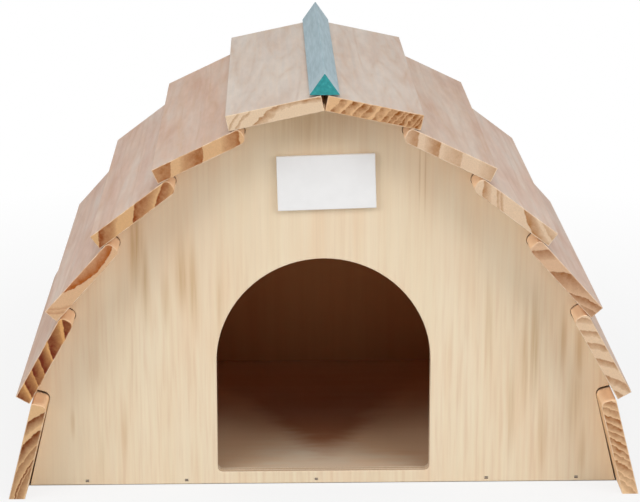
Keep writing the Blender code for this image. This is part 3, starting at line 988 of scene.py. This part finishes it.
def rounded_copy(node, rounding, material):
    """Makes a copy of a node with its edges rounded and its two ends marked."""
    shape = merged_copy(node)
    sharp = [edge for edge in shape.edges if edge.calc_face_angle(0.0) > strip_sharp]
    bmesh.ops.bevel(shape, geom=sharp, offset=rounding, segments=2, profile=0.5, affect="EDGES",
                    material=-1, clamp_overlap=True)
    low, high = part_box(node)
    end = shape.verts.layers.float.new("end")
    for vertex in shape.verts:
        vertex[end] = float(min(vertex.co.y - low.y, high.y - vertex.co.y) < end_depth)
    return finished(f"{node}_painted", shape, [material], node)


strip = rounded_copy("ridge_strip", 0.2 * mm, brushed_paint("brushed_paint_teal_and_blue"))
print("faces in the strip:", len(strip.data.polygons))

# %% [markdown]
# ## Plaque
# The plaque is a thin board under smooth white paint, glued on a little askew. A plain white
# would look like paper, so the paint gets a faint cloudiness and the slight peel of a sprayed
# coat.

# %% Plaque
cloud_size = 12
peel_size = 1.2  # mm; the peel of a real coat is finer, but that would not show


def sprayed_paint(name, colour, shadow_colour):
    """Makes a smooth sprayed paint with a faint unevenness."""
    # Sprayed satin enamel: even, with a wider and softer highlight than gloss.
    material, tree, shader = fresh_material(name)
    place = add(tree, "TexCoord").outputs["Object"]
    cloud = add(tree, "TexNoise", {"Vector": place, "Scale": per(cloud_size),
                                   "Detail": 3.0}).outputs["Fac"]
    tone = add(tree, "ValToRGB", {"Fac": cloud}, stops=(
        (0.35, shadow_colour), (0.65, colour))).outputs["Color"]
    peel = add(tree, "TexNoise", {"Vector": place, "Scale": per(peel_size),
                                  "Detail": 1.0}).outputs["Fac"]
    surface(tree, shader, tone, roughness=0.42, relief=peel, strength=0.1, depth=0.05)
    return material


plaque = rounded_copy("name_plaque", 0.2 * mm,
                      sprayed_paint("sprayed_white_paint", "#F8F8F8", "#F5F5F5"))
print("faces in the plaque:", len(plaque.data.polygons))

# %% [markdown]
# ## Brads
# Small galvanised nails hold the floor between the panels, and more are set under the painted
# boards. The model's own nails have the right shape, so they stay and only take a finish. Zinc
# that has weathered is dull and grey with darker spangles, so the metal isn't a mirror.

# %% Brads
spangle_size = 0.7  # mm; fine zinc crystals, drawn as coarse as a nail's head can show
steel, tree, shader = fresh_material("galvanised_steel")
place = add(tree, "TexCoord").outputs["Object"]
spangle = add(tree, "TexNoise", {"Vector": place, "Scale": per(spangle_size),
                                 "Detail": 2.0}).outputs["Fac"]
dull = add(tree, "ValToRGB", {"Fac": spangle}, stops=(
    (0.3, "#85786A"), (0.7, "#B0A294"))).outputs["Color"]
surface(tree, shader, dull, roughness=0.5)
shader.inputs["Metallic"].default_value = 0.6
brads = [node for node in nodes if node.startswith("brad_")]
for node in brads:
    nodes[node].data.materials.clear()
    nodes[node].data.materials.append(steel)
print("brads:", len(brads))

# %% [markdown]
# ## Floor
# The house stands on a plain sheet of pale paper. More light on the paper would turn it white,
# but it would also wash out the house. So the paper glows for the camera and in reflections only,
# a little less near the walls, where it keeps the house's faint shadow, and not at all under the
# house, where one would see the glow through the slits.

# %% Floor
sheet_half_size = 6.0
below_feet = 0.2 * mm
glow_near, glow_far, least_glow = 0.25, 0.8, 0.82
ground_mesh = bpy.data.meshes.new("ground")
ground_shape = bmesh.new()
bmesh.ops.create_grid(ground_shape, x_segments=1, y_segments=1, size=sheet_half_size)
bmesh.ops.translate(ground_shape, vec=(0, 0, -below_feet), verts=ground_shape.verts)
ground_shape.to_mesh(ground_mesh)
ground_shape.free()
ground = bpy.data.objects.new("ground", ground_mesh)
scene.collection.objects.link(ground)
# Studio paper: matt, so that it takes a soft shadow and no highlight.
paper, tree, shader = fresh_material("white_paper_sweep")
shader.inputs["Base Color"].default_value = linear("#C8C8C8")
shader.inputs["Roughness"].default_value = 0.9
glow = add(tree, "Emission", {"Color": (1, 1, 1, 1), "Strength": 1.0})
path, seen = seen_directly(tree)
where = add(tree, "TexCoord").outputs["Object"]
away = add(tree, "VectorMath", {0: where}, operation="LENGTH").outputs["Value"]
share = add(tree, "MapRange", {"Value": away, "From Min": glow_near, "From Max": glow_far,
                               "To Min": least_glow, "To Max": 1.0}).outputs["Result"]
spread = add(tree, "SeparateXYZ", {0: where})
across = add(tree, "Math", {0: spread.outputs["X"], 1: 0.0, 2: front_high.x + 1 * mm},
             operation="COMPARE")
along = add(tree, "Math", {0: spread.outputs["Y"], 1: (front_low.y + back_high.y) / 2,
                           2: (back_high.y - front_low.y) / 2}, operation="COMPARE")
indoors = add(tree, "Math", {0: across.outputs[0], 1: along.outputs[0]}, operation="MULTIPLY")
outdoors = add(tree, "Math", {0: 1.0, 1: indoors.outputs[0]}, operation="SUBTRACT").outputs[0]
seen = add(tree, "Math", {0: seen, 1: outdoors}, operation="MULTIPLY").outputs[0]
share = add(tree, "Math", {0: seen, 1: share}, operation="MULTIPLY").outputs[0]
sweep = add(tree, "MixShader", {0: share, 1: shader.outputs[0], 2: glow.outputs[0]})
tree.links.new(sweep.outputs[0], tree.nodes["Material Output"].inputs["Surface"])
ground_mesh.materials.append(paper)
print("paper in m:", 2 * sheet_half_size)

# %% [markdown]
# ## Light and background
# The light is that of a small studio: a pair of soft lamps high on either side of the camera, a
# lower pair further round that lights the steep boards, one overhead, a weak one that reaches in
# at the doorway and one behind, so that the rear isn't left in the dark. The one behind stays out
# of reflections, where it would put a sheen on the paint. To the camera and in reflections the
# surround is white, while its light on the house stays plain.

# %% Background
surround_level = 0.105
world = bpy.data.worlds.new("studio")
scene.world = world
world.use_nodes = True
tree = world.node_tree
path, seen = seen_directly(tree)
seen = add(tree, "Math", {0: seen, 1: path["Is Transmission Ray"]},
           operation="MAXIMUM").outputs[0]
level = add(tree, "MapRange", {"Value": seen, "To Min": surround_level, "To Max": 1.0}).outputs[0]
tree.links.new(level, tree.nodes["Background"].inputs["Strength"])
tree.nodes["Background"].inputs["Color"].default_value = (1, 1, 1, 1)
print("light of the surround:", surround_level)


# %% Light
def lamp(name, azimuth, elevation, distance, size, watts, mirrored=True):
    """Hangs a square soft lamp that looks at the middle of the house."""
    middle = Vector((0, 0, (model_low.z + model_high.z) / 2))
    turn, rise = math.radians(azimuth), math.radians(elevation)
    away = Vector((math.sin(turn) * math.cos(rise), -math.cos(turn) * math.cos(rise),
                   math.sin(rise)))
    data = bpy.data.lights.new(name, "AREA")
    data.shape = "SQUARE"
    data.size = size
    data.energy = watts
    item = bpy.data.objects.new(name, data)
    item.visible_glossy = mirrored
    item.location = middle + away * distance
    item.rotation_euler = (-away).to_track_quat("-Z", "Y").to_euler()
    scene.collection.objects.link(item)


for side in (-1, 1):
    lamp("key", 35 * side, 45, 1.8, 0.8, 6.0)
    lamp("side", 60 * side, 20, 2.0, 1.0, 14.5)
lamp("top", 0, 85, 1.8, 1.0, 12.5)
lamp("front", 0, 10, 2.0, 1.0, 1.2)
lamp("back", 180, 4, 2.0, 1.0, 14.0, mirrored=False)
print("lamps:", len(bpy.data.lights))
